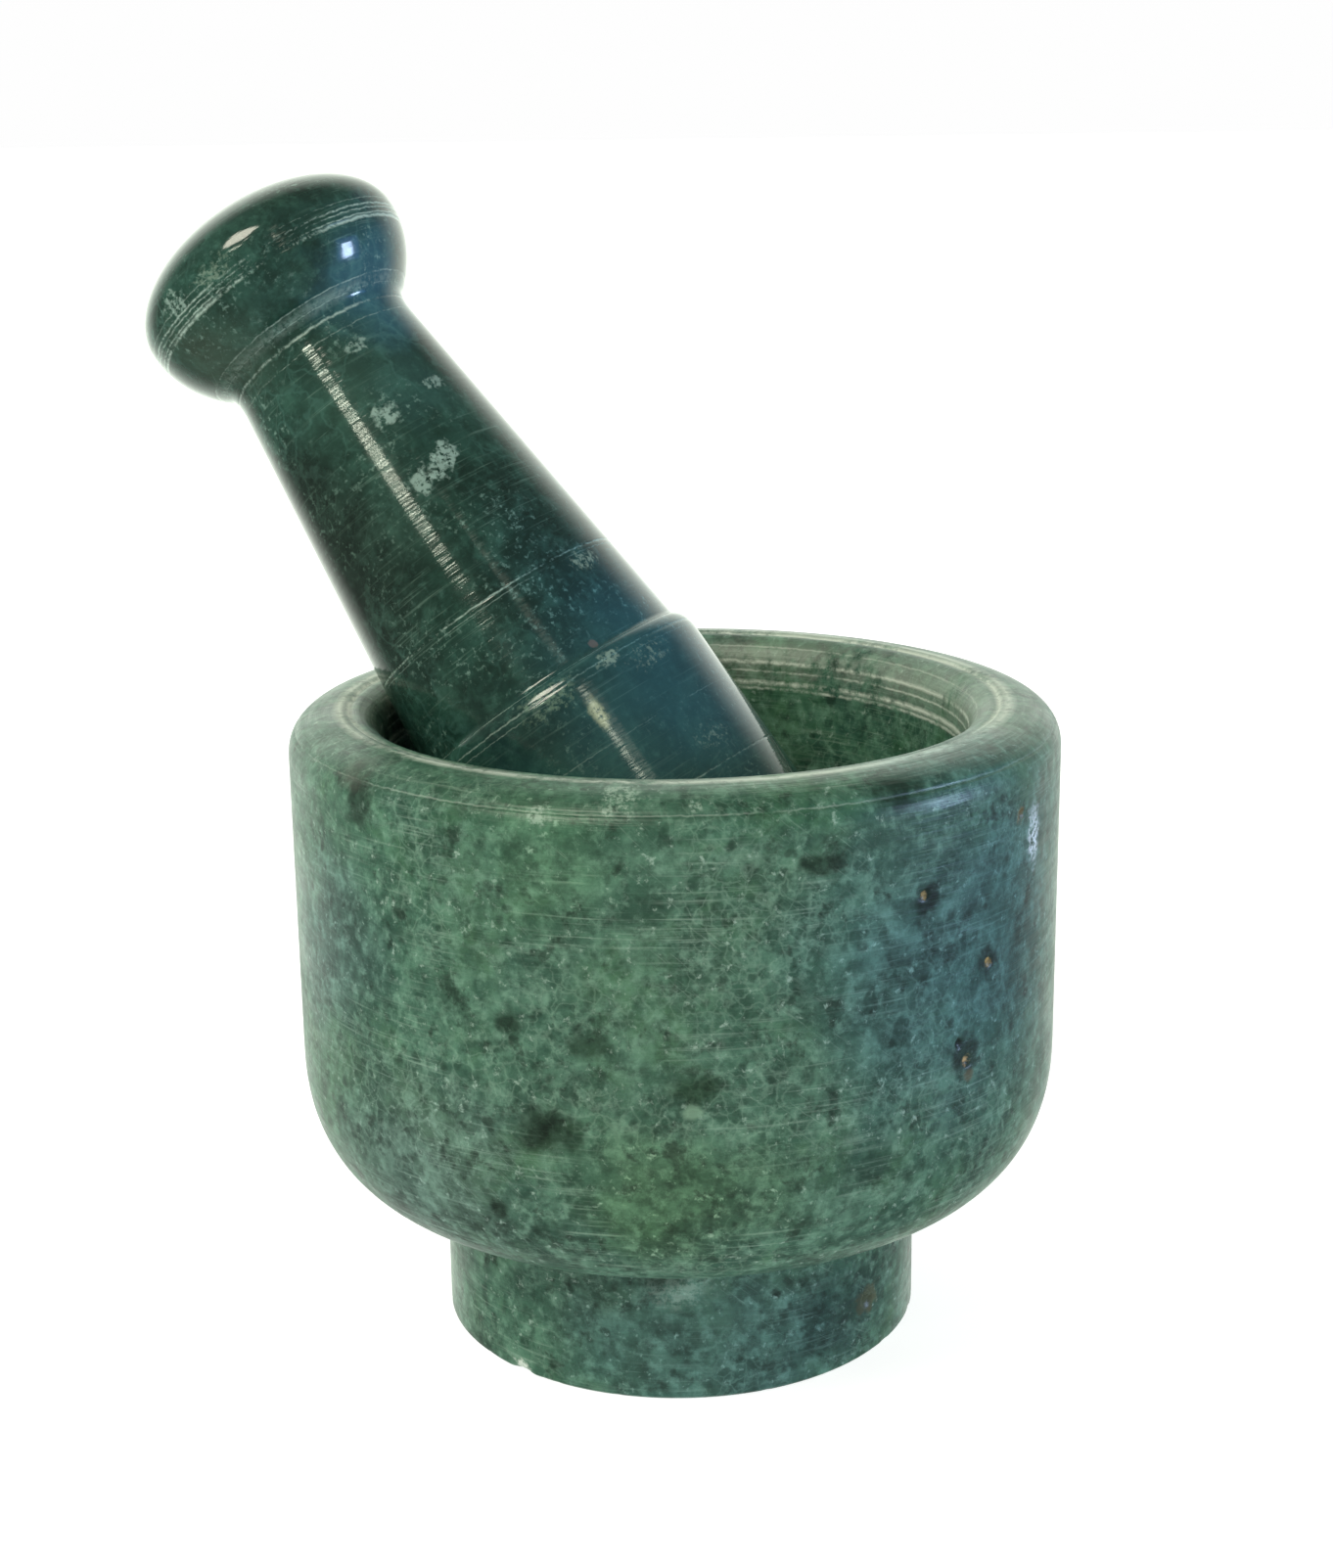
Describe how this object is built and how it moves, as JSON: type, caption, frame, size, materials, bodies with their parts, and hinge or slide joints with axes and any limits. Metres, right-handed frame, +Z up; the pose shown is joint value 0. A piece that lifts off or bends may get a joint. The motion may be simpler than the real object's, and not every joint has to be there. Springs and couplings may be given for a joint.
{
  "type": "mortar and pestle",
  "caption": "Footed round stone mortar with a rounded lip and a deep bowl, and a knobbed, tapering pestle that leans in it and lifts out, for grinding by hand.",
  "frame": {"origin": "middle of the mortar's flat foot, on the surface it stands on", "axes": "+Z up along the mortar's axis, -Y towards the viewer; the pestle leans towards -X and a little towards +Y"},
  "size_m": [0.1195, 0.1, 0.1506],
  "materials": {
    "mortar_stone": "honed green marble",
    "pestle_stone": "polished dark green marble"
  },
  "bodies": {
    "mortar": {"mortar": "mortar_stone"},
    "pestle": {"pestle": "pestle_stone"}
  },
  "joints": [
    {"name": "pestle_lift", "type": "slide", "parent": "mortar", "child": "pestle", "axis": [0, 0, 1], "range_m": [0, 0.08]}
  ]
}
